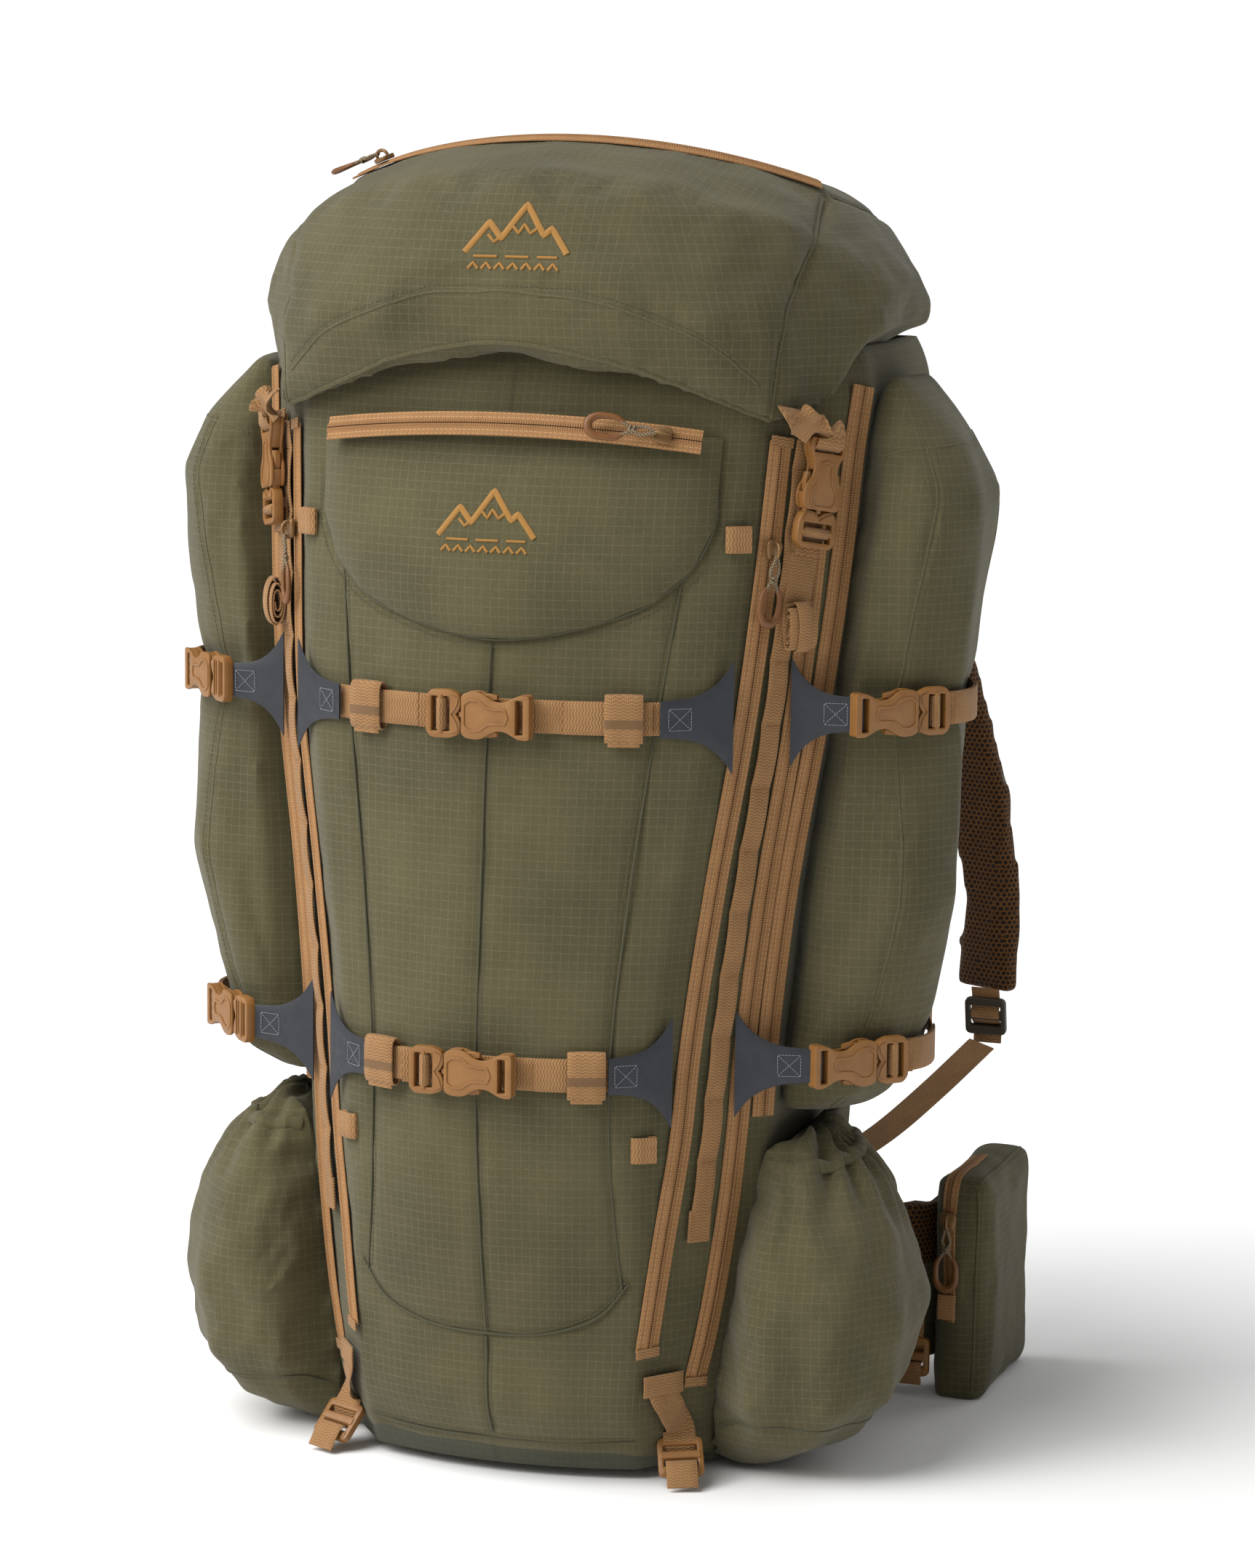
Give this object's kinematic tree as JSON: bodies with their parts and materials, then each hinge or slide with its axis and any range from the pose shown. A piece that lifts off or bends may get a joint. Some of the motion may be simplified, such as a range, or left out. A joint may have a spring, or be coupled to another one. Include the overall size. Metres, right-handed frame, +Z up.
{
  "type": "backpack",
  "caption": "Hunting backpack with a framed bag, side pods, stuff pockets, zip lid, compression buckles, shoulder harness and pocketed hip belt",
  "frame": {"origin": "on the ground under the middle of the pack's bounding box", "axes": "+X to the wearer's right, +Y from the front of the bag to the wearer's back, +Z up"},
  "size_m": [0.514, 0.4971, 0.8156],
  "materials": {
    "pack_cloth": "ripstop cloth",
    "tan_webbing": "woven",
    "zip_tape": "woven tape with coil",
    "buckle_plastic": "moulded satin",
    "dark_plastic": "moulded satin",
    "slider_metal": "painted die-cast",
    "pull_grip": "moulded grip",
    "black_laminate": "coated laminate",
    "mesh_padding": "spacer mesh",
    "frame_polymer": "smooth",
    "stay_alloy": "satin"
  },
  "bodies": {
    "pack": {"anchor_tabs": "black_laminate", "back_pads": "mesh_padding", "base_panel": "pack_cloth", "bottom_straps": "tan_webbing", "buckle_fixed_halves": "buckle_plastic", "compression_straps": "tan_webbing", "daisy_chains": "tan_webbing", "frame_sheet": "frame_polymer", "frame_stays": "stay_alloy", "front_panel": "pack_cloth", "front_pocket": "pack_cloth", "gear_loops": "tan_webbing", "grab_handle": "tan_webbing", "lid_anchor_straps": "tan_webbing", "lower_pocket_left": "pack_cloth", "lower_pocket_right": "pack_cloth", "main_bag": "pack_cloth", "panel_zips": "zip_tape", "pocket_zip": "zip_tape", "shoulder_webbing": "tan_webbing", "side_pod_left": "pack_cloth", "side_pod_right": "pack_cloth", "strap_keepers": "tan_webbing"},
    "lid": {"lid_shell": "pack_cloth", "lid_zip": "zip_tape", "lid_straps": "tan_webbing", "lid_buckle_sockets": "buckle_plastic"},
    "harness": {"shoulder_strap_left": "mesh_padding", "shoulder_strap_right": "mesh_padding", "sternum_strap": "tan_webbing", "strap_adjusters": "dark_plastic"},
    "sternum_clip": {"sternum_clip": "buckle_plastic"},
    "hip_left": {"hip_wing_left": "mesh_padding", "hip_pocket_left": "pack_cloth", "hip_adjuster_left": "buckle_plastic"},
    "ladder_left": {"ladder_lock_left": "buckle_plastic"},
    "hip_right": {"hip_wing_right": "mesh_padding", "hip_pocket_right": "pack_cloth", "hip_adjuster_right": "buckle_plastic"},
    "ladder_right": {"ladder_lock_right": "buckle_plastic"},
    "release_front_upper": {"buckle_half_front_upper": "buckle_plastic"},
    "release_front_lower": {"buckle_half_front_lower": "buckle_plastic"},
    "release_side_upper_left": {"buckle_half_side_upper_left": "buckle_plastic"},
    "release_side_upper_right": {"buckle_half_side_upper_right": "buckle_plastic"},
    "release_side_lower_left": {"buckle_half_side_lower_left": "buckle_plastic"},
    "release_side_lower_right": {"buckle_half_side_lower_right": "buckle_plastic"},
    "release_lid_left": {"buckle_half_lid_left": "buckle_plastic"},
    "release_lid_right": {"buckle_half_lid_right": "buckle_plastic"},
    "slider_lid": {"zip_slider_lid": "slider_metal"},
    "pull_lid": {"zip_pull_lid": "pull_grip"},
    "slider_pocket": {"zip_slider_pocket": "slider_metal"},
    "pull_pocket": {"zip_pull_pocket": "pull_grip"},
    "slider_panel_left": {"zip_slider_panel_left": "slider_metal"},
    "pull_panel_left": {"zip_pull_panel_left": "pull_grip"},
    "slider_panel_right": {"zip_slider_panel_right": "slider_metal"},
    "pull_panel_right": {"zip_pull_panel_right": "pull_grip"},
    "slider_hip_left": {"zip_slider_hip_left": "slider_metal"},
    "pull_hip_left": {"zip_pull_hip_left": "pull_grip"},
    "slider_hip_right": {"zip_slider_hip_right": "slider_metal"},
    "pull_hip_right": {"zip_pull_hip_right": "pull_grip"}
  },
  "joints": [
    {"name": "lid_hinge", "type": "hinge", "parent": "pack", "child": "lid", "pos_m": [0, 0.062, 0.699], "axis": [-1, 0, 0], "range_deg": [0, 100]},
    {"name": "unclip_front_upper", "type": "slide", "parent": "pack", "child": "release_front_upper", "axis": [-1, 0, 0], "range_m": [0, 0.025]},
    {"name": "unclip_front_lower", "type": "slide", "parent": "pack", "child": "release_front_lower", "axis": [-1, 0, 0], "range_m": [0, 0.025]},
    {"name": "unclip_side_upper_left", "type": "slide", "parent": "pack", "child": "release_side_upper_left", "axis": [-0.6997, 0.7145, 0], "range_m": [0, 0.025]},
    {"name": "unclip_side_upper_right", "type": "slide", "parent": "pack", "child": "release_side_upper_right", "axis": [0.6997, 0.7145, 0], "range_m": [0, 0.025]},
    {"name": "unclip_side_lower_left", "type": "slide", "parent": "pack", "child": "release_side_lower_left", "axis": [-0.6997, 0.7145, 0], "range_m": [0, 0.025]},
    {"name": "unclip_side_lower_right", "type": "slide", "parent": "pack", "child": "release_side_lower_right", "axis": [0.6997, 0.7145, 0], "range_m": [0, 0.025]},
    {"name": "unclip_lid_left", "type": "slide", "parent": "pack", "child": "release_lid_left", "axis": [0.0975, -0.1323, -0.9864], "range_m": [0, 0.025]},
    {"name": "unclip_lid_right", "type": "slide", "parent": "pack", "child": "release_lid_right", "axis": [-0.0975, -0.1323, -0.9864], "range_m": [0, 0.025]},
    {"name": "zip_lid", "type": "hinge", "parent": "lid", "child": "slider_lid", "pos_m": [0, 0.11165, 0.68746], "axis": [0, 0.5151, 0.8571], "range_deg": [0, 62]},
    {"name": "pull_swing_lid", "type": "hinge", "parent": "slider_lid", "child": "pull_lid", "pos_m": [-0.13707, -0.06292, 0.79893], "axis": [0.3875, 0.8829, 0.2651], "range_deg": [0, 90]},
    {"name": "zip_pocket", "type": "hinge", "parent": "pack", "child": "slider_pocket", "pos_m": [0, 0.12368, 0.50652], "axis": [0, 0.3937, 0.9192], "range_deg": [-30, 0]},
    {"name": "pull_swing_pocket", "type": "hinge", "parent": "slider_pocket", "child": "pull_pocket", "pos_m": [0.0904, -0.19857, 0.64453], "axis": [0, 0.3937, 0.9192], "range_deg": [0, 90]},
    {"name": "zip_panel_left", "type": "slide", "parent": "pack", "child": "slider_panel_left", "axis": [0.0807, -0.1459, -0.986], "range_m": [0, 0.085]},
    {"name": "pull_swing_panel_left", "type": "hinge", "parent": "slider_panel_left", "child": "pull_panel_left", "pos_m": [-0.15732, -0.15843, 0.5658], "axis": [-0.5844, 0.7944, -0.1654], "range_deg": [0, 90]},
    {"name": "zip_panel_right", "type": "slide", "parent": "pack", "child": "slider_panel_right", "axis": [-0.0807, -0.1459, -0.986], "range_m": [0, 0.085]},
    {"name": "pull_swing_panel_right", "type": "hinge", "parent": "slider_panel_right", "child": "pull_panel_right", "pos_m": [0.15732, -0.15843, 0.5658], "axis": [-0.5844, -0.7944, 0.1654], "range_deg": [0, 90]},
    {"name": "zip_hip_left", "type": "slide", "parent": "hip_left", "child": "slider_hip_left", "axis": [0, 0, -1], "range_m": [0, 0.045]},
    {"name": "pull_swing_hip_left", "type": "hinge", "parent": "slider_hip_left", "child": "pull_hip_left", "pos_m": [-0.216, 0.0553, 0.1115], "axis": [-1, 0, 0], "range_deg": [0, 90]},
    {"name": "zip_hip_right", "type": "slide", "parent": "hip_right", "child": "slider_hip_right", "axis": [0, 0, -1], "range_m": [0, 0.045]},
    {"name": "pull_swing_hip_right", "type": "hinge", "parent": "slider_hip_right", "child": "pull_hip_right", "pos_m": [0.216, 0.0553, 0.1115], "axis": [-1, 0, 0], "range_deg": [0, 90]},
    {"name": "ladder_tilt_left", "type": "hinge", "parent": "pack", "child": "ladder_left", "pos_m": [-0.10779, -0.16868, 0.02797], "axis": [-0.9298, 0.365, 0.0467], "range_deg": [0, 45]},
    {"name": "hip_wing_left", "type": "hinge", "parent": "pack", "child": "hip_left", "pos_m": [-0.126, 0.077, 0.07], "axis": [0, 0, -1], "range_deg": [-15, 30]},
    {"name": "ladder_tilt_right", "type": "hinge", "parent": "pack", "child": "ladder_right", "pos_m": [0.10779, -0.16868, 0.02797], "axis": [-0.9298, -0.365, -0.0467], "range_deg": [0, 45]},
    {"name": "hip_wing_right", "type": "hinge", "parent": "pack", "child": "hip_right", "pos_m": [0.126, 0.077, 0.07], "axis": [0, 0, 1], "range_deg": [-15, 30]},
    {"name": "harness_swing", "type": "hinge", "parent": "pack", "child": "harness", "pos_m": [0, 0.079, 0.638], "axis": [1, 0, 0], "range_deg": [-10, 12], "deforming": ["shoulder_webbing"]},
    {"name": "unclip_sternum", "type": "slide", "parent": "harness", "child": "sternum_clip", "axis": [-1, 0, 0], "range_m": [0, 0.025]}
  ]
}
